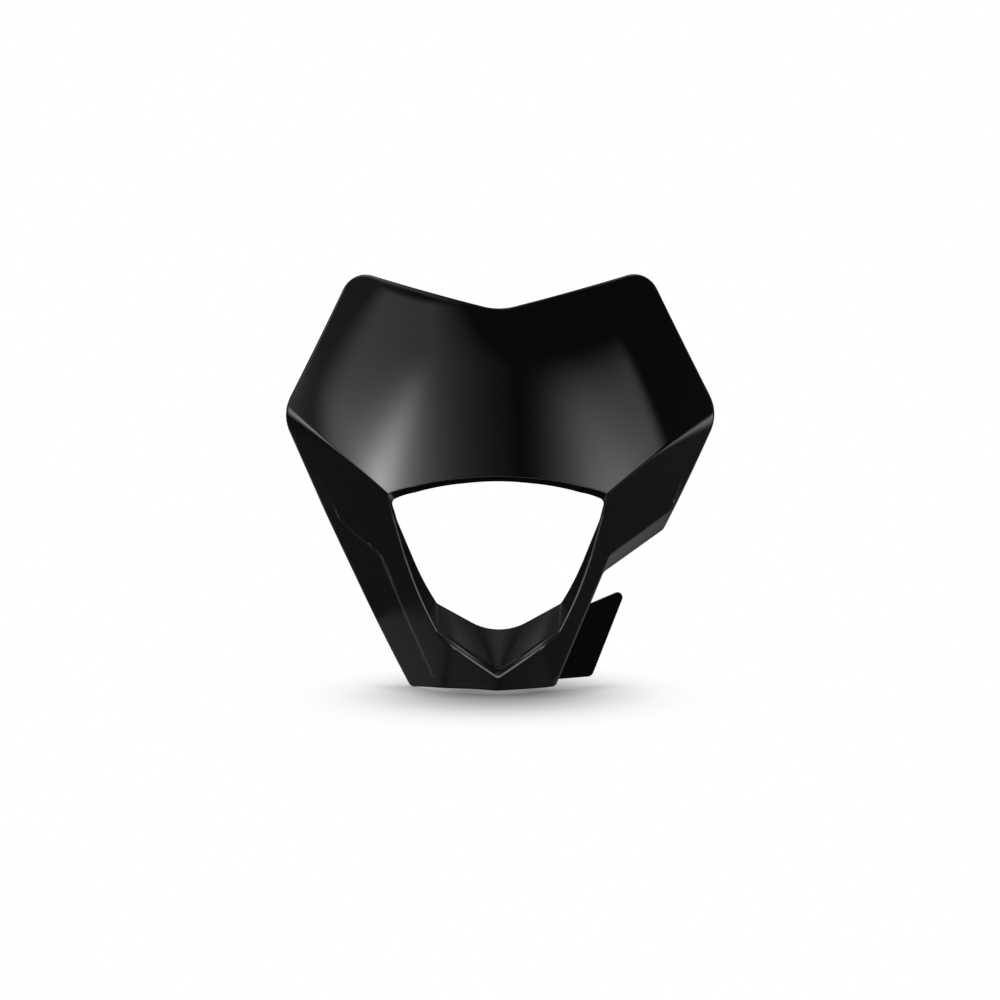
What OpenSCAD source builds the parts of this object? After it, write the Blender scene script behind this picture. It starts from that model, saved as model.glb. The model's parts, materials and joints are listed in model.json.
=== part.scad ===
// Headlight cowl of an enduro motorbike: one thin moulding.
// +Z is up, +X is to the viewer's right and the front faces -Y. The origin is the middle of the lamp
// opening, level with the brow, which is the foremost edge. All sizes are in millimetres.
// The moulding is a loft of closed rings around the lamp opening. A ring is a list of corners, each
// [x, z, radius, bulge]: the radius rounds the corner and the bulge bows the edge that follows it.
// Each ring takes its depth from the skin, the surface that the eye sees from the front.

/* [Number plate field] */
// Half the width between the brow's ends
brow_x = 71; // [66:1:76]
// Height of the brow's middle above the lamp's axis
brow_z = 51.7; // [47:0.1:56]
// How far the brow's ends hang below its middle
brow_drop = 11.5; // [6:0.5:16]
// Half the width between the top corners
top_x = 101; // [90:1:112]
// Height of the top corners
top_z = 193; // [180:1:210]
// Height of the dip in the middle of the top edge
dip_z = 162.4; // [150:0.1:172]
// Half the width between the widest points, before rounding
wing_x = 150.3; // [140:0.1:160]
// Height of the widest points
wing_z = 95.4; // [85:0.1:105]
// Rounding of the top corners
top_round = 17; // [10:1:26]
// Rounding of the widest corners
wing_round = 30; // [16:1:36]
// Rounding of the dip
dip_round = 42; // [20:1:60]
// How far the field leans back from the brow up to its vertical point
lean = 66; // [50:1:80]
// Height over which it does so
lean_h = 154.5; // [140:0.5:180]
// How far the field wraps back at its full half width
wrap = 70; // [55:1:80]
// How steeply that wrap sets in towards the sides
wrap_power = 2.4; // [2:0.1:3]
// Depth of the brow's ends behind its middle
brow_end_y = 1.5; // [1:0.5:6]
// Where the crest between field and side panel begins to round off
crest_x = 100; // [90:1:115]
// Width over which the crest is rounded at the widest points
crest_round = 14; // [8:1:18]

/* [Side panels] */
// Depth that a side panel gains for each millimetre outwards
panel_out = 1.9; // [1.7:0.01:2.2]
// Depth that it gains for each millimetre downwards
panel_down = 0.914; // [0.8:0.001:1.05]
// Half the width of the frame edge at its upper end
frame_x = 67.4; // [64:0.1:69]
// Height of that end
frame_z = 25; // [18:1:30]
// Half the width of the frame edge at its knee
knee_x = 60.2; // [57:0.1:63]
// Height of the knee
knee_z = -2; // [-8:1:4]
// Half the width of the frame edge where the chin begins
jaw_x = 39.6; // [36:0.1:43]
// Height of that point
jaw_z = -50.8; // [-56:0.1:-46]
// Half the width of the foot
foot_x = 62; // [58:0.1:66]
// Height of the foot's outer ends
foot_z = -92.3; // [-96:0.1:-90]
// How far the left side edge bows outwards
side_bow = 2.5; // [1:0.1:4]
// Depth of the step at the style line
step = 1.3; // [0.6:0.1:2]
// Width of that step
step_w = 1.6; // [1:0.1:3]
// Half-width position of the left style line's upper end
style_end_x = 108.5; // [106:0.5:111]
// Height of that end
style_end_z = 22; // [18:0.5:26]
// Half-width position of that line's knee
style_knee_x = 78.5; // [76:0.5:81]
// Height of that knee
style_knee_z = 0; // [-4:0.5:4]
// Half-width position of that line's lower end
style_foot_x = 43.4; // [41:0.1:46]
// Width of the band under the style line along the lower edge
hem_w = 6.6; // [5:0.1:8]

/* [Chin] */
// Height of the chin's point on the frame edge
chin_z = -79.4; // [-82:0.1:-74]
// Depth of that point behind the brow
chin_y = 20; // [14:1:26]
// Depth that the chin gains for each millimetre outwards
chin_out = 0.62; // [0.4:0.01:0.8]
// Depth that the chin gains for each millimetre downwards
chin_down = 1.2; // [0.9:0.1:1.5]
// Rounding of the ridge in the middle of the chin
chin_ridge = 3; // [2:0.5:5]
// Height of the middle of the lower edge
hem_z = -89.3; // [-92:0.1:-87]
// Depth of the groove inside the chin's edge
groove = 2.2; // [1:0.1:3]

/* [Lamp opening] */
// Half the width of the opening at its upper corners
open_x = 69.3; // [66:0.1:70]
// Height of the opening's top
open_z = 48.8; // [46:0.1:50]
// Height of the opening's lower point
open_low_z = -55.4; // [-58:0.1:-52]
// Rounding of that point
open_low_round = 38; // [20:1:44]
// Rounding of the opening's upper corners
open_round = 3.6; // [3:0.1:4]
// Depth of the lip under the brow
lip = 10; // [7:0.5:14]
// Depth of the opening's edge at its upper corners
corner_lip = 19; // [16:0.5:22]
// Depth of the opening's edge beside the frame's upper end
frame_lip = 31; // [28:0.5:34]
// Depth of the opening's edge beside the frame's knee
knee_lip = 46; // [42:0.5:50]
// Depth of the opening's lower point behind the brow
sill_y = 60; // [50:1:66]

/* [Hose guide] */
// Height of the notch's outer corner
notch_z = 15.7; // [12:0.1:20]
// Height of the flange above that corner
flange_h = 14.3; // [10:0.1:18]
// Height of the flange above the guide's inner corner
flange_bend = 12.3; // [9:0.1:15]
// Half-width position of the guide's inner corner
guide_x = 70; // [68:0.5:74]
// Height of that corner
guide_z = -12.2; // [-16:0.1:-8]
// How far the flange is turned back at that corner
guide_turn = 13; // [8:1:18]
// Half-width position of the arm's foot
arm_x = 37.8; // [35:0.1:40]
// Height of the arm's foot
arm_z = -88.5; // [-90:0.1:-87]
// Distance between the arm's style line and its outer edge
arm_edge = 1.5; // [1.2:0.1:2]
// How far the flap lies behind the panel
flap_back = 14; // [11:1:16]
// How far the rim beside the guide reaches past the flap's front
flap_rim = 8; // [5:0.5:10]
// How far the flap reaches behind the arm
flap_hold = 8; // [6:0.5:10]
// Reach of the flap's upper corner
flap_x = 87; // [78:0.1:88]
// Height of the flap's upper corner
flap_z = -24.5; // [-30:0.5:-23]
// Reach of the flap's lower corner
flap_low_x = 63.4; // [58:0.1:68]
// Height of the flap's lower corner
flap_low_z = -86; // [-88:0.5:-82]

/* [Wall] */
// Wall thickness
wall = 2.5; // [2:0.1:3]
// Rounding of the outer rim
rim_round = 2.2; // [1.6:0.1:3]
// Depth of the rim round the field
rim = 7; // [5:0.5:10]
// Depth of the rim along the side panels and the foot
rear_rim = 5; // [4:0.5:8]
// Rounding of the frame edge
edge_round = 1.4; // [0.8:0.1:2]

/* [Fixings] */
// Half the distance between the lamp screws
screw_x = 86; // [84:0.5:92]
// Height of the lamp screws
screw_z = 58; // [54:0.5:64]
// Bore for a lamp screw
screw_d = 4.2; // [3.2:0.1:5]
// Depth of a lamp screw's bore
screw_h = 14; // [10:1:18]
// Diameter of a lamp screw's post
post_d = 10; // [9:0.5:12]
// Depth of the posts' ends behind the brow
post_y = 62; // [58:1:70]
// Height of the strap stud
stud_z = 132; // [120:1:145]
// Diameter of the strap stud's neck
stud_d = 8; // [6:0.5:10]
// Diameter of the strap stud's head
head_d = 13; // [11:0.5:16]
// Thickness of the strap stud's head
head_h = 3; // [2:0.5:4]
// Depth of the strap stud's end behind the brow
stud_y = 78; // [74:1:84]
// Half the distance between the fender tongues
tongue_x = 22; // [18:1:26]
// Width of a fender tongue
tongue_w = 14; // [12:1:16]
// Thickness of a fender tongue
tongue_h = 3; // [2.5:0.5:4]
// Height of the fender tongues' top face
tongue_z = -76; // [-78:1:-74]
// Depth of the tongues' rear end behind the brow
tongue_y = 96; // [90:1:104]
// Bore in a fender tongue
tongue_d = 6.2; // [5:0.1:7]

/* [Hidden] */
black = [0.03, 0.03, 0.032];
arc_steps = [6, 6, 9, 6, 6, 6, 6, 6, 6, 6, 9, 6];
edge_steps = [9, 6, 6, 5, 6, 5, 5, 6, 5, 6, 6, 9];
brow_end_z = brow_z - brow_drop;
open_end_z = brow_end_z - 4;
least_reach = 1.5;
crest_sharp = 1.5;
crest_fade = 1.2;
chin_soft = 3;
turn_power = 4;

// Small helpers on vectors and numbers
function unit(v) = v / norm(v);
function mix(a, b, t) = a + (b - a) * t;
function clamp01(t) = max(0, min(1, t));
function later(a, b, r) = (a + b + sqrt((a - b) * (a - b) + 4 * r * r)) / 2;

// The greater of a and b, with the corner between them rounded over the width k
function greater(a, b, k) =
    let (h = max(0, k - abs(a - b)))
    max(a, b) + h * h / (4 * k);

// Depth of the plate field: a parabola that leans back with height, plus a wrap that grows outwards
function field_y(x, z) =
    let (t = (z - brow_z) / lean_h)
    lean * (2 * t - t * t) + wrap * pow(abs(x) / wing_x, wrap_power);
function field_slope(x, z) =
    let (rise = 2 * lean / lean_h * (1 - (z - brow_z) / lean_h))
    let (side = wrap_power * wrap / wing_x * pow(abs(x) / wing_x, wrap_power - 1))
    norm([1, rise, side]);

// Depth of a side panel: a plane through the brow's end
function panel_y(x, z) =
    brow_end_y + panel_out * (abs(x) - brow_x) - panel_down * (z - brow_end_z);
panel_slope = norm([1, panel_out, panel_down]);

// Depth of the chin: two planes that meet in a soft ridge in the middle
function chin_plane_y(x, z) =
    chin_y + chin_out * (norm([x, chin_ridge]) - chin_ridge) + chin_down * (chin_z - z);
chin_slope = norm([1, chin_out, chin_down]);

// Depth of the whole skin, a wall's thickness or none behind its face
function skin(x, z, w = 0) =
    let (out = clamp01((abs(x) - crest_x) / (wing_x - crest_x)))
    let (crest = mix(crest_sharp, crest_round, pow(out, crest_fade)))
    let (upper = greater(field_y(x, z) + w * field_slope(x, z), panel_y(x, z) + w * panel_slope, crest))
    later(upper, chin_plane_y(x, z) + w * chin_slope, chin_soft);

// Points of the arc of radius r that rounds corner p between a and b, as a conic through its tangent
// points; a corner that is nearly straight keeps a short stretch of its own
function arc(a, p, b, r, steps) =
    let (u = unit(a - p), v = unit(b - p))
    let (half = acos(max(-1, min(1, u * v))) / 2)
    let (reach = max(least_reach, min(r / tan(half), 0.49 * min(norm(a - p), norm(b - p)))))
    let (w = sin(half))
    [for (k = [0:steps])
        let (t = k / steps)
        let (i = (1 - t) * (1 - t), j = 2 * t * (1 - t) * w, l = t * t)
        ((p + u * reach) * i + p * j + (p + v * reach) * l) / (i + j + l)];

// A closed ring through rounded corners, each [x, z, radius, bulge]
function ring(corners) =
    let (n = len(corners))
    let (p = [for (c = corners) [c[0], c[1]]])
    let (arcs = [for (i = [0:n - 1])
        arc(p[(i + n - 1) % n], p[i], p[(i + 1) % n], corners[i][2], arc_steps[i])])
    [for (i = [0:n - 1])
        let (a = arcs[i][arc_steps[i]], b = arcs[(i + 1) % n][0])
        let (across = unit([a[1] - b[1], b[0] - a[0]]))
        each concat(arcs[i], [for (k = [1:edge_steps[i] - 1])
            let (t = k / edge_steps[i])
            mix(a, b, t) + across * corners[i][3] * 4 * t * (1 - t)])];

// One value per ring point, level at each corner and straight along each edge
function spread(values) =
    [for (i = [0:len(values) - 1])
        let (next = values[(i + 1) % len(values)])
        each concat([for (k = [0:arc_steps[i]]) values[i]],
            [for (k = [1:edge_steps[i] - 1]) mix(values[i], next, k / edge_steps[i])])];

// The ring moved outwards by one distance or by one distance per point
function swell(r, d) =
    let (n = len(r))
    [for (i = [0:n - 1])
        let (t = unit(r[(i + 1) % n] - r[(i + n - 1) % n]))
        r[i] + [-t[1], t[0]] * (is_list(d) ? d[i] : d)];

function blend(r, s, t) = [for (i = [0:len(r) - 1]) mix(r[i], s[i], t)];

// Corners run clockwise as the viewer sees them, from the dip in the top edge: the top, widest, frame,
// knee and foot corners on the right, the point of the chin, and the same on the left
function mirrored(half) =
    concat(half, [for (i = [5:-1:1]) [-half[i][0], half[i][1], half[i][2], half[i - 1][3]]]);
front_half = [
    [0, brow_z, 60, 0], [brow_x * 0.55, brow_z - brow_drop * 0.3, 60, 0.2], [brow_x, brow_end_z, 3, 0],
    [frame_x, frame_z, 16, 0], [knee_x, knee_z, 30, 1.2], [jaw_x, jaw_z, 6, 0.4], [0, chin_z, 2.5, 0.4]];
open_half = [
    [0, open_z, 60, 0], [open_x * 0.56, mix(open_z, open_end_z, 0.32), 60, 0.3],
    [open_x, open_end_z, open_round, 0], [frame_x - 0.8, frame_z - 1.5, 16, 0],
    [knee_x - 4.2, knee_z - 2, 30, 0.6], [jaw_x + 2.2, jaw_z + 18.2, 6, 0],
    [0, open_low_z, open_low_round, 0]];
front = ring(mirrored(front_half));
open = ring(mirrored(open_half));

// The straight line from the foot to the widest point, and points and directions on the hose guide's arm
function side_at(z) = mix(foot_x, wing_x, (z - foot_z) / (wing_z - foot_z));
arm_foot = [arm_x, arm_z];
arm_top = [guide_x, guide_z];
arm_up = unit(arm_top - arm_foot);
arm_in = [-arm_up[1], arm_up[0]] * arm_edge;
flange_top = [side_at(notch_z + flange_h) - arm_edge, notch_z + flange_h];
flange_low = arm_top + arm_up * flange_bend + arm_in;
arm_low = arm_foot + arm_up * (hem_w / arm_up[1]) + arm_in;
left_low_z = mix(foot_z, wing_z, 0.41);
left_high_z = mix(foot_z, wing_z, 0.64);
crest_end = [mix(brow_x, wing_x, 0.76), mix(brow_end_z, wing_z, 0.76)];
top_end = [top_x * 0.87, mix(brow_end_z, top_z, 0.8)];
outer = ring([
    [0, dip_z, dip_round, -0.8], [top_x, top_z, top_round, 0], [wing_x, wing_z, wing_round, 0.3],
    [side_at(notch_z), notch_z, 4, 0], [guide_x, guide_z, 7, 0], [arm_x, arm_z, 3.2, 0],
    [0, hem_z, 14, -1.4], [-foot_x, foot_z, 4, 0.7],
    [-side_at(left_low_z) - side_bow, left_low_z, 30, 0.1],
    [-side_at(left_high_z) - side_bow, left_high_z, 30, 0],
    [-wing_x, wing_z, wing_round, 0], [-top_x, top_z, top_round, -0.8]]);
style = ring([
    [0, mix(brow_z, dip_z, 0.78), 40, 0], [top_end[0], top_end[1], 20, 0],
    [crest_end[0], crest_end[1], 14, 0], [flange_top[0], flange_top[1], 8, 0],
    [flange_low[0], flange_low[1], 8, 0], [arm_low[0], arm_low[1], 5, 0], [0, hem_z + hem_w, 14, -0.6],
    [-style_foot_x, hem_z + hem_w, 4, 0.6], [-style_knee_x, style_knee_z, 14, 0],
    [-style_end_x, style_end_z, 10, 0], [-crest_end[0], crest_end[1], 14, 0],
    [-top_end[0], top_end[1], 20, 0]]);
count = len(outer);
open_y = spread([lip, lip, corner_lip, frame_lip, knee_lip, sill_y, sill_y,
    sill_y, knee_lip, frame_lip, corner_lip, lip]);
rim_y = spread([rim, rim, rim, rear_rim, flap_back + flap_rim, flap_back + flap_rim, rear_rim,
    rear_rim, rear_rim, rear_rim, rim, rim]);
turn_share = spread([0, 0, 0, 0.95, 1, 0.6, 0, 0, 0, 0, 0, 0]);
step_share = spread([0, 0, 0, 0, 0, 0, 0.3, 1, 1, 1, 0, 0]);
turned = [for (i = [0:count - 1]) guide_turn * pow(turn_share[i], turn_power) + step * step_share[i]];
left_of_style = spread([0, 0, 0, 0.1, 0.1, 0.1, 0.6, 1, 1, 1, 0, 0]);
groove_share = spread([0, 0, 0, 0, 0, 0.3, 1, 0.3, 0, 0, 0, 0]);

// A ring of the skin: its depth is the skin's own, plus the turn behind the style line
function on_skin(r, share = 0, w = 0) =
    [for (i = [0:count - 1]) [r[i][0], skin(r[i][0], r[i][1], w) + turned[i] * share, r[i][1]]];
function after_step(r, t, w = 0) =
    [for (i = [0:count - 1])
        [r[i][0], skin(r[i][0], r[i][1], w) + turned[i] * mix(left_of_style[i], 1, t), r[i][1]]];

front_edge = on_skin(front);
open_edge = [for (i = [0:count - 1]) [open[i][0], open_y[i], open[i][1]]];
rim_edge = [for (i = [0:count - 1])
    [outer[i][0], skin(outer[i][0], outer[i][1]) + turned[i] + rim_y[i], outer[i][1]]];
inner_outline = swell(outer, -wall);
back_style = swell(style, -wall);
gap = [for (i = [0:count - 1]) norm(outer[i] - style[i])];
rim_inset = swell(outer, [for (g = gap) -min(rim_round, 0.4 * g)]);
style_step = [for (i = [0:count - 1]) mix(style[i], outer[i], min(step_w / gap[i], 0.25))];
style_near = blend(style_step, rim_inset, 0.5);

// Three rings that round the corner between rings a and c, whose sharp corner is ring b
function rounded(a, b, c) =
    [for (t = [0.25, 0.5, 0.75])
        [for (i = [0:count - 1]) a[i] * (1 - t) * (1 - t) + b[i] * 2 * t * (1 - t) + c[i] * t * t]];

sill_start = [for (i = [0:count - 1])
    front_edge[i] + unit(open_edge[i] - front_edge[i]) * edge_round];
skin_start = on_skin(swell(front, edge_round));
groove_start = blend(sill_start, open_edge, 0.04);
groove_low = [for (i = [0:count - 1])
    mix(sill_start[i], open_edge[i], 0.11) + [0, groove * groove_share[i], 0]];
groove_high = blend(sill_start, open_edge, 0.16);
rim_start = after_step(rim_inset, 0.8);
rim_corner = after_step(outer, 1);
rim_turn = [for (i = [0:count - 1]) rim_corner[i] + [0, rim_round, 0]];

face_rings = concat(
    [open_edge, blend(open_edge, groove_high, 0.5), groove_high, groove_low, groove_start, sill_start],
    rounded(sill_start, front_edge, skin_start),
    [skin_start],
    [for (t = [0.12, 0.28, 0.46, 0.64, 0.82]) on_skin(blend(swell(front, edge_round), style, t))],
    [on_skin(style), after_step(style_step, 0), after_step(style_near, 0.4), rim_start],
    rounded(rim_start, rim_corner, rim_turn),
    [rim_turn, rim_edge]);

// The back of the wall, from the rim to the opening
sill_run = [for (i = [0:count - 1])
    norm([open[i][0] - front[i][0], open[i][1] - front[i][1]]) / (open_y[i] - front_edge[i][1])];
back_front = swell(front, [for (i = [0:count - 1])
    wall * norm([1, sill_run[i]])
        - (skin(front[i][0], front[i][1], wall) - front_edge[i][1]) * sill_run[i]]);
back_open = swell(open, [for (s = sill_run) wall * norm([1, s])]);
back_rings = concat(
    [[for (i = [0:count - 1]) [inner_outline[i][0], rim_edge[i][1], inner_outline[i][1]]]],
    [on_skin(inner_outline, 1, wall)],
    [for (t = [0.5, 0]) on_skin(blend(back_style, inner_outline, t), t, wall)],
    [for (t = [0.8, 0.6, 0.4, 0.2, 0]) on_skin(blend(back_front, back_style, t), 0, wall)],
    [[for (i = [0:count - 1]) [back_open[i][0], open_y[i], back_open[i][1]]]]);

// Closed skin over rings that follow each other round a wall
module loft(rings) {
    n = len(rings[0]);
    m = len(rings);
    polyhedron([for (r = rings) each r],
        [for (j = [0:m - 1], i = [0:n - 1])
            let (a = j * n + i, b = j * n + (i + 1) % n)
            let (c = ((j + 1) % m) * n + (i + 1) % n, d = ((j + 1) % m) * n + i)
            each [[a, c, b], [a, d, c]]]);
}

module shell() {
    loft(concat(face_rings, back_rings));
}

// A solid behind an outline: its front follows the skin and its back is level or follows it too
module slab(outline, start, end, level = false) {
    n = len(outline);
    front_pts = [for (p = outline) [p[0], skin(p[0], p[1]) + start, p[1]]];
    back_pts = [for (p = outline) [p[0], level ? end : skin(p[0], p[1]) + end, p[1]]];
    polyhedron(concat(front_pts, back_pts),
        concat([[for (i = [0:n - 1]) i]], [[for (i = [n - 1:-1:0]) n + i]],
            [for (i = [0:n - 1]) each [[i, n + i, n + (i + 1) % n], [i, n + (i + 1) % n, (i + 1) % n]]]));
}

function disc(x, z, r, n = 20) = [for (k = [0:n - 1]) [x - r * cos(360 * k / n), z + r * sin(360 * k / n)]];
function box(x0, x1, z0, z1) = [[x0, z0], [x0, z1], [x1, z1], [x1, z0]];

// The flap behind the hose guide: a plate parallel to the side panel
function arm_at(z) = mix(arm_x, guide_x, (z - arm_z) / (guide_z - arm_z));
module flap() {
    inner_low_z = flap_low_z + 2;
    inner_top_z = flap_z - 12;
    corners = [
        [arm_at(inner_low_z) - flap_hold, inner_low_z], [arm_at(inner_top_z) - flap_hold, inner_top_z],
        [flap_x, flap_z], [flap_low_x, flap_low_z]];
    rounds = [1, 1, 4, 4];
    outline = [for (i = [0:3])
        each arc(corners[(i + 3) % 4], corners[i], corners[(i + 1) % 4], rounds[i], 6)];
    slab(outline, flap_back, flap_back + wall * panel_slope);
}

// A post behind the field that takes a lamp screw from the back
module lamp_post(side) {
    difference() {
        slab(disc(side * screw_x, screw_z, post_d / 2), wall / 2, post_y, true);
        translate([side * screw_x, post_y + 1, screw_z]) rotate([90, 0, 0])
            cylinder(d = screw_d, h = screw_h + 1, $fn = 32);
    }
}

// The stud that the upper rubber strap hooks over
module strap_stud() {
    slab(disc(0, stud_z, stud_d / 2), wall / 2, stud_y, true);
    translate([0, stud_y, stud_z]) rotate([90, 0, 0]) cylinder(d = head_d, h = head_h, $fn = 40);
}

// A tongue that plugs into the front fender's bracket
module fender_tongue(side) {
    x = side * tongue_x;
    difference() {
        slab(box(x - tongue_w / 2, x + tongue_w / 2, tongue_z - tongue_h, tongue_z), wall, tongue_y, true);
        translate([x, tongue_y - tongue_w / 2, tongue_z - tongue_h - 1])
            cylinder(d = tongue_d, h = tongue_h + 2, $fn = 32);
    }
}

module cowl() {
    color(black) {
        shell();
        flap();
        strap_stud();
        for (side = [-1, 1]) {
            lamp_post(side);
            fender_tongue(side);
        }
    }
}

cowl();
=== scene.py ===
# %% [markdown]
# # A moulded headlight cowl
# The real piece is one thin black moulding: a glossy number plate field above the lamp, two side panels
# that fall away behind it, a V-shaped chin, and a guide for the brake hose on one side. This file makes
# the fine version of its surface around the CAD solid, gives it its finish and lights it.

# %% Load the frame
import json

import bpy
import numpy as np
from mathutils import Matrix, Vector

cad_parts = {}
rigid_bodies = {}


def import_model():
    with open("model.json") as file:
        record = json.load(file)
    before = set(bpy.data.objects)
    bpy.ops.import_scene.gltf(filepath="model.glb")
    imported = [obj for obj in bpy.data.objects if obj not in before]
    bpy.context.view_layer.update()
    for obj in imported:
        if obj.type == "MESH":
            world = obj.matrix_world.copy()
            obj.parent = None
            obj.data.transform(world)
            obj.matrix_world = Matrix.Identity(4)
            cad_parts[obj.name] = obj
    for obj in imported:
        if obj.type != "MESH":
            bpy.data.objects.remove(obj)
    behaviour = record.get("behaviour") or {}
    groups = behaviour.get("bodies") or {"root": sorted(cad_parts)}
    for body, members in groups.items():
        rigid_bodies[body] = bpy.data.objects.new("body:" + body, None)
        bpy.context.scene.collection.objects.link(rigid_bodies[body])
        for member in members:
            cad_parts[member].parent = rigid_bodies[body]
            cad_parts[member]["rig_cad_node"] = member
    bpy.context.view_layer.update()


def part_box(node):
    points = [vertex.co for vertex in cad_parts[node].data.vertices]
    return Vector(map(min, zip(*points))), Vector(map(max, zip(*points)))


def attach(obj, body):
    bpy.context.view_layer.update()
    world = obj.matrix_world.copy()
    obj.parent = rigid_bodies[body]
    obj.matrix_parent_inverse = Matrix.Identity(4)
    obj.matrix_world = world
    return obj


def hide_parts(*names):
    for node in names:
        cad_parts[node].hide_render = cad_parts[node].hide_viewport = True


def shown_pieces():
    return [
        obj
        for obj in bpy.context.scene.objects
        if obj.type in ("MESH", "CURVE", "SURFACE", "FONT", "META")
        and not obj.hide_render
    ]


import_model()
cad_low, cad_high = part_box("cowl")
print("cowl spans", [round(float(v), 4) for v in cad_low], [round(float(v), 4) for v in cad_high])

# %% [markdown]
# ## Sizes
# The CAD solid's mesh could be taken and smoothed, but that would melt its edges. So the surface is worked
# out again here on a finer grid, from the same sizes in millimetres. X runs to the viewer's right, Z up,
# and Y away from the viewer, with the brow's middle at Y = 0.

# %% Sizes
MM = 0.001
BROW_X, BROW_Z, BROW_DROP, BROW_ARC = 71.0, 51.7, 11.5, 170.0
TOP_X, TOP_Z, DIP_Z = 101.0, 193.0, 162.4
WING_X, WING_Z = 150.3, 95.4
TOP_ROUND, WING_ROUND, DIP_ROUND = 17.0, 30.0, 42.0
LEAN, LEAN_H, WRAP, WRAP_POWER = 66.0, 154.5, 70.0, 2.4
BROW_END_Y, CREST_X, CREST_ROUND = 1.5, 100.0, 14.0
PANEL_OUT, PANEL_DOWN = 1.9, 0.914
FRAME_X, FRAME_Z = 67.4, 25.0
KNEE_X, KNEE_Z = 60.2, -2.0
JAW_X, JAW_Z = 39.6, -50.8
FOOT_X, FOOT_Z = 62.0, -92.3
SIDE_BOW, STEP, STEP_W = 2.5, 1.3, 1.6
STYLE_END_X, STYLE_END_Z, STYLE_KNEE_X, STYLE_KNEE_Z, STYLE_FOOT_X = 108.5, 22.0, 78.5, 0.0, 43.4
CHIN_Z, CHIN_Y, CHIN_OUT, CHIN_DOWN, CHIN_RIDGE = -79.4, 20.0, 0.62, 1.2, 3.0
HEM_Z, HEM_W, GROOVE = -89.3, 6.6, 2.2
OPEN_X, OPEN_Z, OPEN_LOW_Z, OPEN_LOW_ROUND, OPEN_ROUND = 69.3, 48.8, -55.4, 38.0, 3.6
LIP, CORNER_LIP, FRAME_LIP, KNEE_LIP, SILL_Y = 10.0, 19.0, 31.0, 46.0, 60.0
NOTCH_Z, FLANGE_H, FLANGE_BEND = 15.7, 14.3, 12.3
GUIDE_X, GUIDE_Z, GUIDE_TURN = 70.0, -12.2, 13.0
ARM_X, ARM_Z, ARM_EDGE = 37.8, -88.5, 1.5
FLAP_BACK, FLAP_RIM, FLAP_HOLD = 14.0, 8.0, 8.0
FLAP_X, FLAP_Z, FLAP_LOW_X, FLAP_LOW_Z = 87.0, -24.5, 63.4, -86.0
WALL, RIM_ROUND, RIM, REAR_RIM, EDGE_ROUND = 2.5, 2.2, 7.0, 5.0, 1.4
SCREW_X, SCREW_Z, SCREW_D, SCREW_H, POST_D, POST_Y = 86.0, 58.0, 4.2, 14.0, 10.0, 62.0
STUD_Z, STUD_D, HEAD_D, HEAD_H, STUD_Y = 132.0, 8.0, 13.0, 3.0, 78.0
TONGUE_X, TONGUE_W, TONGUE_H, TONGUE_Z = 22.0, 14.0, 3.0, -76.0
TONGUE_Y, TONGUE_D = 96.0, 6.2
BROW_END_Z = BROW_Z - BROW_DROP
OPEN_END_Z = BROW_END_Z - 4
LEAST_REACH, MOST_REACH = 1.5, 0.49
CREST_SHARP, CREST_FADE, CHIN_SOFT, TURN_POWER, LINE_FADE = 1.5, 1.2, 3.0, 4, 6

# %% [markdown]
# ## The skin
# The face that the eye sees is three simple surfaces: the field is a parabola that leans back with height
# and wraps back sideways, each side panel is a plane, and so is each half of the chin. They could be
# modelled apart and bevelled where they meet. Here whichever lies further back wins, and a soft maximum
# rounds the crest between them, so that its radius can grow towards the wing without a seam.

# %% Skin
def later(a, b, r):
    """Soft maximum: the mean of a and b plus half of the root of their difference squared plus 4 r r."""
    return (a + b + np.sqrt((a - b) ** 2 + 4 * r * r)) / 2


def greater(a, b, k):
    """The greater of a and b plus h h / (4 k), where h is how much k exceeds their difference."""
    h = np.maximum(0, k - np.abs(a - b))
    return np.maximum(a, b) + h * h / (4 * k)


def field_y(x, z):
    """Lean times (2 t - t t), where t is the height above the brow, plus wrap times |x| to a power."""
    t = (z - BROW_Z) / LEAN_H
    return LEAN * (2 * t - t * t) + WRAP * (np.abs(x) / WING_X) ** WRAP_POWER


def field_slope(x, z):
    """Length of (1, rise, side): how much deeper than its wall the field's back face lies."""
    rise = 2 * LEAN / LEAN_H * (1 - (z - BROW_Z) / LEAN_H)
    side = WRAP_POWER * WRAP / WING_X * (np.abs(x) / WING_X) ** (WRAP_POWER - 1)
    return np.sqrt(1 + rise ** 2 + side ** 2)


def panel_y(x, z):
    """A plane on each side that passes through the brow's end."""
    return BROW_END_Y + PANEL_OUT * (np.abs(x) - BROW_X) - PANEL_DOWN * (z - BROW_END_Z)


def chin_y(x, z):
    """Two planes that meet in a soft ridge in the middle."""
    return CHIN_Y + CHIN_OUT * (np.hypot(x, CHIN_RIDGE) - CHIN_RIDGE) + CHIN_DOWN * (CHIN_Z - z)


def skin(x, z, w=0.0):
    """Depth of the face, or of the surface a wall w behind it."""
    panel_slope = np.sqrt(1 + PANEL_OUT ** 2 + PANEL_DOWN ** 2)
    chin_slope = np.sqrt(1 + CHIN_OUT ** 2 + CHIN_DOWN ** 2)
    out = np.clip((np.abs(x) - CREST_X) / (WING_X - CREST_X), 0, 1)
    crest = CREST_SHARP + (CREST_ROUND - CREST_SHARP) * out ** CREST_FADE
    upper = greater(field_y(x, z) + w * field_slope(x, z), panel_y(x, z) + w * panel_slope, crest)
    return later(upper, chin_y(x, z) + w * chin_slope, CHIN_SOFT)


print("depth of the widest corner", round(float(skin(WING_X, WING_Z)), 1), "mm")

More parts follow.
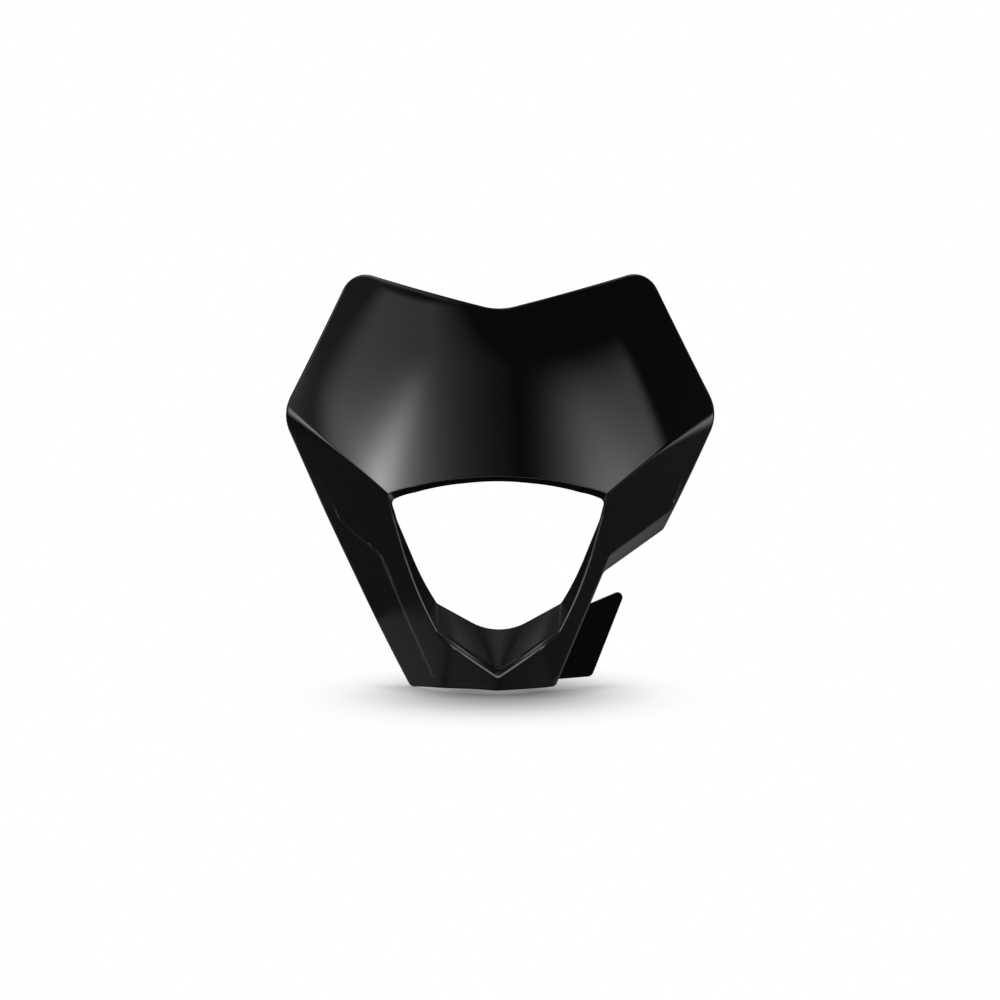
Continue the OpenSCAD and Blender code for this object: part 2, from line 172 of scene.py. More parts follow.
# %% [markdown]
# ## Rings
# Every part of the moulding runs round the lamp opening. Curves with bevels would draw each outline, but
# their points wouldn't match. So the shell is lofted through closed rings: the opening's edge, the frame's
# front edge, the style line and the outline. A ring is a list of corners, [x, z, radius, bulge]. All rings
# have the same corners in the same order, so that point k of one ring always faces point k of the next.

# %% Ring helpers
ARC_STEPS = np.array([12, 12, 30, 12, 12, 12, 12, 12, 12, 12, 30, 12])
EDGE_STEPS = np.array([9, 6, 6, 5, 6, 5, 5, 6, 5, 6, 6, 9]) * 4


def unit(v):
    """Each row divided by its length."""
    return v / np.linalg.norm(v, axis=-1, keepdims=True)


def arc(a, p, b, r, steps):
    """A circle of radius r that rounds corner p, written as a conic through its two tangent points."""
    u, v = unit(a - p), unit(b - p)
    half = np.arccos(np.clip(u @ v, -1, 1)) / 2
    shorter = min(np.linalg.norm(a - p), np.linalg.norm(b - p))
    reach = max(LEAST_REACH, min(r / np.tan(half), MOST_REACH * shorter))
    t = np.linspace(0, 1, steps + 1)[:, None]
    i, j, k = (1 - t) ** 2, 2 * t * (1 - t) * np.sin(half), t ** 2
    return ((p + u * reach) * i + p * j + (p + v * reach) * k) / (i + j + k)


def ring(corners):
    """The rounded corners, joined by edges that bow outwards by their bulge times 4 t (1 - t)."""
    c = np.array(corners, float)
    p = c[:, :2]
    arcs = [arc(p[i - 1], p[i], p[(i + 1) % len(p)], c[i, 2], ARC_STEPS[i]) for i in range(len(p))]
    parts = []
    for i in range(len(p)):
        a, b = arcs[i][-1], arcs[(i + 1) % len(p)][0]
        t = np.linspace(0, 1, EDGE_STEPS[i] + 1)[1:-1, None]
        across = unit(np.array([a[1] - b[1], b[0] - a[0]]))
        parts += [arcs[i], a + (b - a) * t + across * c[i, 3] * 4 * t * (1 - t)]
    return np.vstack(parts)


def spread(values):
    """One value per ring point: level round each corner and straight along each edge."""
    parts = []
    for i, value in enumerate(values):
        t = np.linspace(0, 1, EDGE_STEPS[i] + 1)[1:-1]
        parts += [np.full(ARC_STEPS[i] + 1, value), value + (values[(i + 1) % len(values)] - value) * t]
    return np.concatenate(parts)


def swell(r, d):
    """The ring moved outwards by d, square to the line through each point's neighbours."""
    t = unit(np.roll(r, -1, axis=0) - np.roll(r, 1, axis=0))
    return r + np.stack([-t[:, 1], t[:, 0]], axis=1) * np.reshape(d, (-1, 1))


def mix(a, b, t):
    """Straight blend from a to b."""
    return a + (b - a) * t


print("points in a ring:", ARC_STEPS.sum() + EDGE_STEPS.sum())

# %% [markdown]
# The corners run clockwise as the viewer sees them: the dip of the top edge, then the top, widest,
# frame, knee and foot corners on the right, the point of the chin, and the same corners on the left.
# The two sides differ below the widest corner, because the right side is cut away for the brake hose.

# %% Guide rings
def mirrored(half):
    """A ring that is the same on both sides, from its right half."""
    left = [[-half[i][0], half[i][1], half[i][2], half[i - 1][3]] for i in range(5, 0, -1)]
    return half + left


front = ring(mirrored([
    [0, BROW_Z, BROW_ARC, 0], [BROW_X * 0.55, BROW_Z - BROW_DROP * 0.28, BROW_ARC, 0.3],
    [BROW_X, BROW_END_Z, 3, 0], [FRAME_X, FRAME_Z, 16, 0], [KNEE_X, KNEE_Z, 30, 1.2],
    [JAW_X, JAW_Z, 6, 0.4], [0, CHIN_Z, 2.5, 0.4]]))
opening = ring(mirrored([
    [0, OPEN_Z, BROW_ARC, 0], [OPEN_X * 0.56, mix(OPEN_Z, OPEN_END_Z, 0.3), BROW_ARC, 0.4],
    [OPEN_X, OPEN_END_Z, OPEN_ROUND, 0], [FRAME_X - 0.8, FRAME_Z - 1.5, 16, 0],
    [KNEE_X - 4.2, KNEE_Z - 2, 30, 0.6], [JAW_X + 2.2, JAW_Z + 18.2, 6, 0],
    [0, OPEN_LOW_Z, OPEN_LOW_ROUND, 0]]))


def side_at(z):
    """The straight line from the foot to the widest point."""
    return mix(FOOT_X, WING_X, (z - FOOT_Z) / (WING_Z - FOOT_Z))


arm_foot, arm_top = np.array([ARM_X, ARM_Z]), np.array([GUIDE_X, GUIDE_Z])
arm_up = unit(arm_top - arm_foot)
arm_in = np.array([-arm_up[1], arm_up[0]]) * ARM_EDGE
flange_low = arm_top + arm_up * FLANGE_BEND + arm_in
arm_low = arm_foot + arm_up * (HEM_W / arm_up[1]) + arm_in
left_low_z, left_high_z = mix(FOOT_Z, WING_Z, 0.41), mix(FOOT_Z, WING_Z, 0.64)
crest_x, crest_z = mix(BROW_X, WING_X, 0.76), mix(BROW_END_Z, WING_Z, 0.76)
style_top_x, style_top_z = TOP_X * 0.87, mix(BROW_END_Z, TOP_Z, 0.8)
outer = ring([
    [0, DIP_Z, DIP_ROUND, -0.8], [TOP_X, TOP_Z, TOP_ROUND, 0], [WING_X, WING_Z, WING_ROUND, 0.3],
    [side_at(NOTCH_Z), NOTCH_Z, 4, 0], [GUIDE_X, GUIDE_Z, 7, 0], [ARM_X, ARM_Z, 3.2, 0],
    [0, HEM_Z, 14, -1.4], [-FOOT_X, FOOT_Z, 4, 0.7],
    [-side_at(left_low_z) - SIDE_BOW, left_low_z, 30, 0.1],
    [-side_at(left_high_z) - SIDE_BOW, left_high_z, 30, 0],
    [-WING_X, WING_Z, WING_ROUND, 0], [-TOP_X, TOP_Z, TOP_ROUND, -0.8]])
style = ring([
    [0, mix(BROW_Z, DIP_Z, 0.78), 40, 0], [style_top_x, style_top_z, 20, 0], [crest_x, crest_z, 14, 0],
    [side_at(NOTCH_Z + FLANGE_H) - ARM_EDGE, NOTCH_Z + FLANGE_H, 8, 0], [*flange_low, 8, 0],
    [*arm_low, 5, 0], [0, HEM_Z + HEM_W, 14, -0.6], [-STYLE_FOOT_X, HEM_Z + HEM_W, 4, 0.6],
    [-STYLE_KNEE_X, STYLE_KNEE_Z, 14, 0], [-STYLE_END_X, STYLE_END_Z, 10, 0],
    [-crest_x, crest_z, 14, 0], [-style_top_x, style_top_z, 20, 0]])
open_y = spread([LIP, LIP, CORNER_LIP, FRAME_LIP, KNEE_LIP, SILL_Y, SILL_Y,
                 SILL_Y, KNEE_LIP, FRAME_LIP, CORNER_LIP, LIP])
rim_y = spread([RIM, RIM, RIM, REAR_RIM, FLAP_BACK + FLAP_RIM, FLAP_BACK + FLAP_RIM, REAR_RIM,
                REAR_RIM, REAR_RIM, REAR_RIM, RIM, RIM])
turn_share = spread([0, 0, 0, 0.95, 1, 0.6, 0, 0, 0, 0, 0, 0])
step_share = spread([0, 0, 0, 0, 0, 0, 0.3, 1, 1, 1, 0, 0])
turned = GUIDE_TURN * turn_share ** TURN_POWER + STEP * step_share
line_fade = spread([1] * 10 + [0, 1]) ** LINE_FADE
left_of_style = spread([0, 0, 0, 0.1, 0.1, 0.1, 0.6, 1, 1, 1, 0, 0]) * line_fade
groove_share = spread([0, 0, 0, 0, 0, 0.3, 1, 0.3, 0, 0, 0, 0])
print("outline from", outer.min(axis=0).round(1), "to", outer.max(axis=0).round(1), "mm")

# %% [markdown]
# ## The section of the shell
# Cut through, the moulding is a thin wall: a sill at the opening, the frame's rounded edge, the skin with
# a small step behind the style line, and a rim. A flat face with Solidify and Bevel would give one wall
# and one radius, but here the sill, the groove and the rim each have their own. So each line of the
# section is a ring with depths, and parabolas round the corners between them.

# %% Section helpers
def lift(r, y):
    """A ring with its depths: x and z are the ring's, y is given."""
    return np.stack([r[:, 0], y, r[:, 1]], axis=1)


def on_skin(r, share=0.0, w=0.0):
    """The skin's depth, plus a share of the turn behind the style line."""
    return lift(r, skin(r[:, 0], r[:, 1], w) + turned * share)


def after_step(r, t):
    """The skin's depth, plus the turn: what is left at the style line at t = 0 and all of it at t = 1."""
    return lift(r, skin(r[:, 0], r[:, 1]) + turned * mix(left_of_style, 1, t))


def rounded(a, b, c, steps):
    """A parabola that rounds the corner b between a and c: (1 - t)(1 - t) a + 2 t (1 - t) b + t t c."""
    return [a * (1 - t) ** 2 + b * 2 * t * (1 - t) + c * t * t for t in np.arange(1, steps) / steps]


def runs(a, b, ts):
    """Blends from a to b at each t."""
    return [mix(a, b, t) for t in ts]


print("the step at the foot", round(float((turned * left_of_style).max()), 2), "mm deep")

# %% [markdown]
# The front's lines. The frame's edge is nearly sharp along the brow and soft below it. A groove follows the
# V of the chin: it lies on the sill, close to the frame's edge, and fades out towards the jaws. Its places
# are shares of the way from the frame's edge to the opening's.

# %% Lines of the front
GROOVE_ABOVE, GROOVE_TOP, GROOVE_FLOOR, GROOVE_FOOT = 0.19, 0.17, 0.1, 0.04
GROOVE_DEEPER, LAND_PULL, RIM_SHARE, STEP_SHARE, TURN_AT_RIM = 1.25, 0.75, 0.4, 0.25, 0.8
front_edge = on_skin(front)
open_edge = lift(opening, open_y)
edge_round = EDGE_ROUND * spread([0.25, 0.25, 0.4, 1, 1, 1, 1, 1, 1, 1, 0.4, 0.25])[:, None]
front_out = swell(front, edge_round)
sill_start = front_edge + unit(open_edge - front_edge) * edge_round
skin_start = on_skin(front_out)
land_share = spread([0, 0, 0, 1, 1, 1, 1, 1, 1, 1, 0, 0])[:, None]
edge_corner = mix(front_edge, (sill_start + skin_start) / 2, LAND_PULL * land_share)
groove_drop = lift(np.zeros_like(front), GROOVE * GROOVE_DEEPER * groove_share)
groove_above = mix(sill_start, open_edge, GROOVE_ABOVE)
groove_top = mix(sill_start, open_edge, GROOVE_TOP)
groove_floor = mix(sill_start, open_edge, GROOVE_FLOOR) + groove_drop
groove_foot = mix(sill_start, open_edge, GROOVE_FOOT)
gap = np.linalg.norm(outer - style, axis=1)
style_step = mix(style, outer, np.minimum(STEP_W / gap, STEP_SHARE)[:, None])
rim_inset = swell(outer, -np.minimum(RIM_ROUND, RIM_SHARE * gap))
print("groove floor", round(float(groove_drop[:, 1].max()), 2), "mm below the sill")

# %% [markdown]
# The rim turns back round the outline, deeper where it holds the hose flap. The back's lines lie one wall
# behind the front's. The wall is measured square to the surface, so behind a steep sill the ring moves
# outwards by more than the wall.

# %% Lines of the rim and the back
rim_start = after_step(rim_inset, TURN_AT_RIM)
rim_corner = after_step(outer, 1)
rim_turn = rim_corner + np.array([0, RIM_ROUND, 0])
rim_edge = lift(outer, skin(outer[:, 0], outer[:, 1]) + turned + rim_y)
inner = swell(outer, -WALL)
back_style = swell(style, -WALL)
sill_run = np.linalg.norm(opening - front, axis=1) / (open_y - front_edge[:, 1])
sill_wall = WALL * np.sqrt(1 + sill_run ** 2)
back_depth = skin(front[:, 0], front[:, 1], WALL) - front_edge[:, 1]
back_front = swell(front, sill_wall - back_depth * sill_run)
back_open = lift(swell(opening, sill_wall), open_y)
rim_inner = lift(inner, rim_edge[:, 1])
print("the wall behind the sill is", round(float(sill_wall.max()), 2), "mm wide at most")

# %% [markdown]
# ## The rows of the shell
# The rows run from the opening over the sill, round the frame's edge and out over the skin to the style
# line, over the step and round the rim, and then back inside. They lie close together where the surface
# turns quickly, so that highlights stay smooth there, and far apart where it is plain.

# %% Rows of the shell
step_turn = turned * left_of_style
face_rows = (
    [mix(open_edge, groove_above, 0.012)] + runs(open_edge, groove_above, np.linspace(0.03, 1, 10))
    + rounded(groove_above, groove_top, mix(groove_top, groove_floor, 0.2), 6)
    + runs(groove_top, groove_floor, (0.2, 0.35, 0.5, 0.65, 0.8))
    + rounded(mix(groove_top, groove_floor, 0.8), groove_floor, mix(groove_floor, groove_foot, 0.4), 5)
    + rounded(mix(groove_floor, groove_foot, 0.6), groove_foot, sill_start, 4) + [sill_start]
    + rounded(sill_start, edge_corner, skin_start, 7) + [skin_start]
    + [on_skin(mix(front_out, style, t)) for t in np.linspace(0, 1, 40)[1:-1]]
    + [on_skin(mix(style, style_step, -0.25)), on_skin(style)]
    + [on_skin(mix(style, style_step, t)) + lift(np.zeros_like(style), step_turn * s)
       for t, s in ((0.25, 0.12), (0.5, 0.5), (0.75, 0.88))]
    + [after_step(mix(style_step, rim_inset, t), TURN_AT_RIM * t) for t in np.linspace(0, 1, 14)[:-1]]
    + [rim_start] + rounded(rim_start, rim_corner, rim_turn, 8)
    + runs(rim_turn, rim_edge, (0, 0.5, 0.9)))
back_rows = (
    [rim_inner] + runs(rim_inner, on_skin(inner, 1, WALL), (0.1, 0.5, 0.9, 1))
    + [on_skin(mix(inner, back_style, t), 1 - t, WALL) for t in np.linspace(0, 1, 8)[1:]]
    + [on_skin(mix(back_style, back_front, t), 0, WALL) for t in np.linspace(0, 1, 24)[1:]]
    + runs(on_skin(back_front, 0, WALL), back_open, np.linspace(0, 0.97, 12)[1:]))
print("rows of the face and of the back:", len(face_rows), len(back_rows))


# %% [markdown]
# ## Meshes from rows
# Each moulded piece is a stack of closed rows. Blender's own bridge tool could join them one pair at a
# time, but a grid of numbers gives all the quads at once. A shell's last row joins its first, and a solid
# piece has a cap at each end. Its name and its body are given in the same place.

# %% Mesh builder
def solid_from_rows(name, rows, closed):
    """Quads between rows; face (j, i) joins points i and i + 1 of rows j and j + 1."""
    grid = np.array(rows) * MM
    m, n = grid.shape[:2]
    j, i = np.meshgrid(np.arange(m if closed else m - 1), np.arange(n), indexing="ij")
    k, l = (j + 1) % m, (i + 1) % n
    faces = np.stack([j * n + i, j * n + l, k * n + l, k * n + i], axis=-1).reshape(-1, 4).tolist()
    if not closed:
        faces += [list(range(n))[::-1], list(range((m - 1) * n, m * n))]
    mesh = bpy.data.meshes.new(name)
    mesh.from_pydata(grid.reshape(-1, 3), [], faces)
    mesh.shade_smooth()
    made = bpy.data.objects.new(name, mesh)
    bpy.context.scene.collection.objects.link(made)
    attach(made, "root")
    return made


def volume_ml(obj):
    """Sum over triangles of a . (b x c) / 6, which is positive when faces look outwards."""
    mesh = obj.data
    mesh.calc_loop_triangles()
    points = np.empty(len(mesh.vertices) * 3)
    mesh.vertices.foreach_get("co", points)
    corners = np.empty(len(mesh.loop_triangles) * 3, int)
    mesh.loop_triangles.foreach_get("vertices", corners)
    a, b, c = points.reshape(-1, 3)[corners].reshape(-1, 3, 3).transpose(1, 0, 2)
    return float(np.einsum("ij,ij->i", a, np.cross(b, c)).sum() / 6 * 1e6)


shell = solid_from_rows("cowl_shell", face_rows + back_rows, True)
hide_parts("cowl")
print("shell volume", round(volume_ml(shell), 1), "ml, triangles", len(shell.data.loop_triangles))

# %% [markdown]
# ## Hose flap
# Behind the cut-away right side stands a plate that keeps the brake hose in its guide. A bevelled box
# would have to be turned to the panel's slope. It is parallel to the side panel, so its front and its back
# take their depth from the skin instead. Each row is the outline drawn in towards its middle, with a small
# rounding at the edges.

# %% Hose flap
def plate_rows(outline, start, thick, edge):
    """Rows from the middle of the front over the rounded edge to the middle of the back."""
    middle = outline.mean(axis=0)
    def row(inset, share, depth):
        r = mix(middle, swell(outline, -inset), share)
        return lift(r, skin(r[:, 0], r[:, 1]) + start + depth)
    front_part = [row(edge, s, 0) for s in (0.02, 0.25, 0.5, 0.75, 0.92, 1)]
    angles = np.linspace(0, np.pi / 2, 5)
    turn = [row(edge * (1 - np.sin(a)), 1, edge * (1 - np.cos(a))) for a in angles[1:]]
    turn_back = [row(edge * (1 - np.cos(a)), 1, thick - edge * (1 - np.sin(a))) for a in angles]
    back_part = [row(edge, s, thick) for s in (0.92, 0.75, 0.5, 0.25, 0.02)]
    return front_part + turn + turn_back + back_part


def outline_of(corners, radii):
    """A convex outline with rounded corners and points along its edges."""
    p = np.array(corners, float)
    n = len(p)
    arcs = [arc(p[i - 1], p[i], p[(i + 1) % n], radii[i], 12) for i in range(n)]
    along = np.linspace(0, 1, 14)[1:-1, None]
    edges = [mix(arcs[i][-1], arcs[(i + 1) % n][0], along) for i in range(n)]
    return np.vstack([part for pair in zip(arcs, edges) for part in pair])


def arm_at(z):
    """Half-width position of the arm's outer edge."""
    return mix(ARM_X, GUIDE_X, (z - ARM_Z) / (GUIDE_Z - ARM_Z))


panel_slope = float(np.sqrt(1 + PANEL_OUT ** 2 + PANEL_DOWN ** 2))
FLAP_LIFT, FLAP_SLOPE, FLAP_SOFT = 2.0, 12.0, 0.5
low_z, top_z = FLAP_LOW_Z + FLAP_LIFT, FLAP_Z - FLAP_SLOPE
flap_outline = outline_of(
    [[arm_at(low_z) - FLAP_HOLD, low_z], [arm_at(top_z) - FLAP_HOLD, top_z],
     [FLAP_X, FLAP_Z], [FLAP_LOW_X, FLAP_LOW_Z]], [1, 1, 4, 4])
flap_rows = plate_rows(flap_outline, FLAP_BACK, WALL * panel_slope, FLAP_SOFT)
flap = solid_from_rows("hose_flap", flap_rows, False)
print("flap volume", round(volume_ml(flap), 2), "ml")

# %% [markdown]
# ## Fixings on the back
# Two posts take the lamp's screws from behind, and a mushroom stud holds the rubber strap. Cylinders with
# a Boolean would leave ragged rims round the bores. These are turned shapes: a profile of radius and depth
# is carried round an axis, and the foot ends inside the wall. The edges have the rounding a mould leaves.

# %% Fixings
def turned_rows(x, z, profile, n=48):
    """Rows of radius r at depth y round the axis through (x, z); None sets a row inside the wall."""
    a = -np.linspace(0, 2 * np.pi, n, endpoint=False)
    rows = []
    for r, y in profile:
        circle = np.stack([x - r * np.cos(a), z - r * np.sin(a)], axis=1)
        foot = skin(circle[:, 0], circle[:, 1]) + WALL / 2
        rows.append(lift(circle, foot if y is None else np.full(n, float(y))))
    return rows


def edge_turn(r, y, e, outward):
    """Points of a quarter circle of radius e at a rim of radius r and depth y, seen from outside."""
    a = np.linspace(0, np.pi / 2, 5)
    if outward:
        return [(r - e * (1 - np.cos(t)), y - e * (1 - np.sin(t))) for t in a]
    return [(r + e * (1 - np.sin(t)), y - e * (1 - np.cos(t))) for t in a]


CORE, SOFT, HEAD_SOFT, POST_BAND = 0.3, 0.4, 0.8, 6.0
bore = SCREW_D / 2
for label, side in (("left", -1), ("right", 1)):
    profile = ([(CORE, None), (POST_D / 2, None), (POST_D / 2, POST_Y - POST_BAND)]
               + edge_turn(POST_D / 2, POST_Y, SOFT, True) + edge_turn(bore, POST_Y, SOFT, False)
               + [(bore, POST_Y - SCREW_H / 2), (bore, POST_Y - SCREW_H), (CORE, POST_Y - SCREW_H)])
    post = solid_from_rows("lamp_post_" + label, turned_rows(side * SCREW_X, SCREW_Z, profile), False)
    print(post.name, round(volume_ml(post), 2), "ml")

neck, head, under = STUD_D / 2, HEAD_D / 2, STUD_Y - HEAD_H
stud_profile = ([(CORE, None), (neck, None), (neck, under - 0.5), (neck + 0.5, under)]
                + [(head - 0.6, under), (head - 0.15, under + 0.2), (head, under + 0.6)]
                + edge_turn(head, STUD_Y, HEAD_SOFT, True) + [(CORE, STUD_Y)])
stud = solid_from_rows("strap_stud", turned_rows(0, STUD_Z, stud_profile), False)
print(stud.name, round(volume_ml(stud), 2), "ml")


# %% [markdown]
# Two tongues plug into the fender's bracket. Each is a short plate with a bore that leaves the back of the
# chin, and its front end follows the skin one wall behind the face. The plate and its bore could be cut
# with a Boolean. As rows they are one ring of quads: out over the bottom, up the side, in over the top and
# down the bore.

# %% Fender tongues
def tongue_rows(x_mid, e=0.4, n=12):
    """A plate with a round hole: each row has 4 n points, matched between the outline and the hole."""
    x0, x1 = x_mid - TONGUE_W / 2, x_mid + TONGUE_W / 2
    t = np.arange(n) / n
    side_x = np.concatenate([np.full(n, x0), mix(x0, x1, t), np.full(n, x1), mix(x1, x0, t)])
    share = np.concatenate([t, np.ones(n), 1 - t, np.zeros(n)])
    hole_y = TONGUE_Y - TONGUE_W / 2
    def outline(inset, z):
        x = x_mid + (side_x - x_mid) * (1 - 2 * inset / TONGUE_W)
        start = skin(x, z) + WALL
        return np.stack([x, mix(start, TONGUE_Y - inset, share), np.full(4 * n, z)], axis=1)
    flat = outline(0, TONGUE_Z)
    angle = np.arctan2(flat[:, 1] - hole_y, flat[:, 0] - x_mid)
    def hole(r, z):
        return np.stack([x_mid + r * np.cos(angle), hole_y + r * np.sin(angle), np.full(4 * n, z)], axis=1)
    low, high, r = TONGUE_Z - TONGUE_H, TONGUE_Z, TONGUE_D / 2
    return [outline(0, low + e), outline(0, high - e), outline(e, high), hole(r + e, high),
            hole(r, high - e), hole(r, low + e), hole(r + e, low), outline(e, low)]


for label, side in (("left", -1), ("right", 1)):
    tongue = solid_from_rows("fender_tongue_" + label, tongue_rows(side * TONGUE_X)[::-1], True)
    print(tongue.name, round(volume_ml(tongue), 2), "ml")

# %% [markdown]
# ## Where the finish changes
# The field's mould is polished, while the side panels and the back have a fine satin grain. Two materials
# would change at a row of faces, but the real change follows the crest. So an attribute named satin grows
# from 0 to 1 where the side panel's depth passes the field's. The whole hose flap is polished too.

# %% Satin attribute
def set_satin(obj, values):
    """Stores one number per point under the name satin."""
    stored = obj.data.attributes.new("satin", "FLOAT", "POINT")
    stored.data.foreach_set("value", values.astype(np.float32))


face = np.vstack(face_rows)
SATIN_FADE = 3.0
past_crest = panel_y(face[:, 0], face[:, 2]) - field_y(face[:, 0], face[:, 2])
satin_face = np.clip(past_crest / SATIN_FADE + 0.5, 0, 1)
set_satin(shell, np.concatenate([satin_face, np.ones(len(back_rows) * len(outer))]))
others = [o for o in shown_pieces() if o is not shell and "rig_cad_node" not in o]
for piece in others:
    set_satin(piece, np.full(len(piece.data.vertices), 0.0 if piece is flap else 1.0))
print("satin share of the face:", round(float(satin_face.mean()), 2), "other pieces:", len(others))

# %% [markdown]
# ## Node helpers
# Materials and the studio's light are built from the same few kinds of nodes, so two helpers add a node
# and link or set its inputs in one line. They work on whichever node tree is named last.

# %% Node helpers
plastic = bpy.data.materials.new("black_plastic")
plastic.use_nodes = True
nodes, links = plastic.node_tree.nodes, plastic.node_tree.links


def add(kind, **inputs):
    """A new node; each named input is linked if the value is a socket, and set if it is a number."""
    node = nodes.new(kind)
    for key, value in inputs.items():
        socket = node.inputs[key.replace("_", " ")]
        if isinstance(value, bpy.types.NodeSocket):
            links.new(value, socket)
        else:
            socket.default_value = value
    return node


def math_node(operation, a, b=0.0):
    """The result socket of one operation on two numbers or sockets."""
    node = nodes.new("ShaderNodeMath")
    node.operation = operation
    for socket, value in zip(node.inputs, (a, b)):
        if isinstance(value, bpy.types.NodeSocket):
            links.new(value, socket)
        else:
            socket.default_value = value
    return node.outputs[0]


print("nodes at the start:", [node.name for node in nodes])

# %% [markdown]
# ## Black plastic
# The real part is black polypropylene. The polished field has a faint orange-peel waviness and a little
# unevenness in its gloss, and the satin areas have a fine grain. Photographed textures would need seams
# and a map, so all of it is worked out from object coordinates. The base colour is nearly black, because
# what the eye sees on such plastic is almost only the reflected studio.

# %% Material
GLOSS, GLOSS_DRIFT, DULL, DULL_GRAIN = 0.05, 0.03, 0.2, 0.1
BLACK, SATIN_BLACK = 0.001, 0.0018
GRAIN_HEIGHT, PEEL_HEIGHT = 0.00003, 0.000004
shader = nodes["Principled BSDF"]
shader.inputs["IOR"].default_value = 1.5
place = nodes.new("ShaderNodeTexCoord").outputs["Object"]
satin = nodes.new("ShaderNodeAttribute")
satin.attribute_name = "satin"
satin = satin.outputs["Fac"]
grain = add("ShaderNodeTexNoise", Vector=place, Scale=1500.0, Detail=3.0).outputs[0]
peel = add("ShaderNodeTexNoise", Vector=place, Scale=90.0, Detail=1.0).outputs[0]
patches = add("ShaderNodeTexNoise", Vector=place, Scale=28.0, Detail=4.0).outputs[0]
gloss = math_node("ADD", GLOSS, math_node("MULTIPLY", patches, GLOSS_DRIFT))
dull = math_node("ADD", DULL, math_node("MULTIPLY", grain, DULL_GRAIN))
polished_part = math_node("MULTIPLY", gloss, math_node("SUBTRACT", 1.0, satin))
roughness = math_node("ADD", math_node("MULTIPLY", dull, satin), polished_part)
links.new(roughness, shader.inputs["Roughness"])
tone = math_node("ADD", BLACK, math_node("MULTIPLY", satin, SATIN_BLACK))
links.new(tone, shader.inputs["Base Color"])
grain_height = math_node("MULTIPLY", math_node("MULTIPLY", grain, satin), GRAIN_HEIGHT)
height = math_node("ADD", grain_height, math_node("MULTIPLY", peel, PEEL_HEIGHT))
bump = add("ShaderNodeBump", Height=height, Strength=1.0, Distance=1.0)
links.new(bump.outputs[0], shader.inputs["Normal"])
for piece in [shell] + others:
    piece.data.materials.append(plastic)
print("material on", len(others) + 1, "pieces")

# %% [markdown]
# ## Studio
# Two soft boxes hang above the cowl and are mirrored in its field. Area lamps would give plain rectangles,
# but the boxes in the picture have slanted sides, soft edges and a hot middle. So they are written into
# the world as formulas on an even ceiling: u runs to the right and v away from the viewer, both measured
# in heights of the ceiling above the cowl. The camera itself sees plain white.

# %% World helpers
world = bpy.data.worlds.new("studio")
bpy.context.scene.world = world
world.use_nodes = True
nodes, links = world.node_tree.nodes, world.node_tree.links
nodes.clear()
ray = nodes.new("ShaderNodeTexCoord").outputs["Generated"]
ray_x, ray_y, ray_z = add("ShaderNodeSeparateXYZ", Vector=ray).outputs
CEILING_LEAST = 0.02
height = math_node("MAXIMUM", ray_z, CEILING_LEAST)
u, v = math_node("DIVIDE", ray_x, height), math_node("DIVIDE", ray_y, height)


def ramp(value, low, high, kind="SMOOTHSTEP"):
    """0 at low and 1 at high, with a soft S or a straight line between them; low may be the greater."""
    node = add("ShaderNodeMapRange", Value=value, From_Min=low, From_Max=high)
    node.interpolation_type = kind
    return node.outputs[0]


def chain(operation, first, *rest):
    """The same operation applied to all values in turn."""
    for value in rest:
        first = math_node(operation, first, value)
    return first


def hill(value, middle, width):
    """1 / (1 + t t), where t is the distance from the middle over the width."""
    t = math_node("DIVIDE", math_node("SUBTRACT", value, middle), width)
    return math_node("DIVIDE", 1.0, math_node("ADD", math_node("MULTIPLY", t, t), 1.0))


def slant(slope):
    """u plus slope times v: level along an edge that leans over the ceiling."""
    return math_node("ADD", u, math_node("MULTIPLY", v, slope))


print("helpers for the world, nodes so far:", len(nodes))

# %% [markdown]
# The left box is large, and its right side bends outwards towards the viewer. The right box is smaller and
# fades towards the viewer. Both end at the same line behind the cowl. Each edge is a pair of numbers,
# where the light is 0 and where it is full.

# %% Soft boxes
LEFT_SLOPE, LEFT_SIDE, LEFT_INNER, LEFT_FRONT = -0.47, (-1.95, -1.15), (0.04, -0.5), (-1.82, -1.64)
LEFT_BEND, LEFT_BEND_AT, LEFT_PLAIN, LEFT_HOT = 0.45, 0.8, 0.66, (-0.57, 0.16, 6.0)
RIGHT_SLOPE, RIGHT_SIDE, RIGHT_INNER, RIGHT_FRONT = 0.3, (1.13, 0.93), (0.03, 0.42), (-0.9, -0.3)
RIGHT_PLAIN, RIGHT_HOT = 0.65, (0.5, 0.25, 1.6)
BOX_REAR, HORIZON, HOT_LENGTH = (0.35, 0.1), (0.0, 0.12), (0.9, 0.0)
middle = ramp(math_node("ABSOLUTE", v), *HOT_LENGTH, "LINEAR")
middle = math_node("MULTIPLY", middle, middle)
above, behind = ramp(ray_z, *HORIZON), ramp(v, *BOX_REAR)
front_part = math_node("MINIMUM", math_node("ADD", v, LEFT_BEND_AT), 0.0)
inward = math_node("SUBTRACT", u, math_node("MULTIPLY", front_part, LEFT_BEND))
left_box = chain("MULTIPLY", ramp(slant(LEFT_SLOPE), *LEFT_SIDE), ramp(inward, *LEFT_INNER, "LINEAR"),
                 ramp(v, *LEFT_FRONT), behind, above)
left_glow = math_node("ADD", LEFT_PLAIN, chain("MULTIPLY", middle, hill(u, *LEFT_HOT[:2]), LEFT_HOT[2]))
right_box = chain("MULTIPLY", ramp(slant(RIGHT_SLOPE), *RIGHT_SIDE), ramp(u, *RIGHT_INNER), behind, above)
right_glow = math_node("ADD", math_node("MULTIPLY", ramp(v, *RIGHT_FRONT), RIGHT_PLAIN),
                       chain("MULTIPLY", middle, hill(u, *RIGHT_HOT[:2]), RIGHT_HOT[2]))
print("soft boxes, nodes so far:", len(nodes))

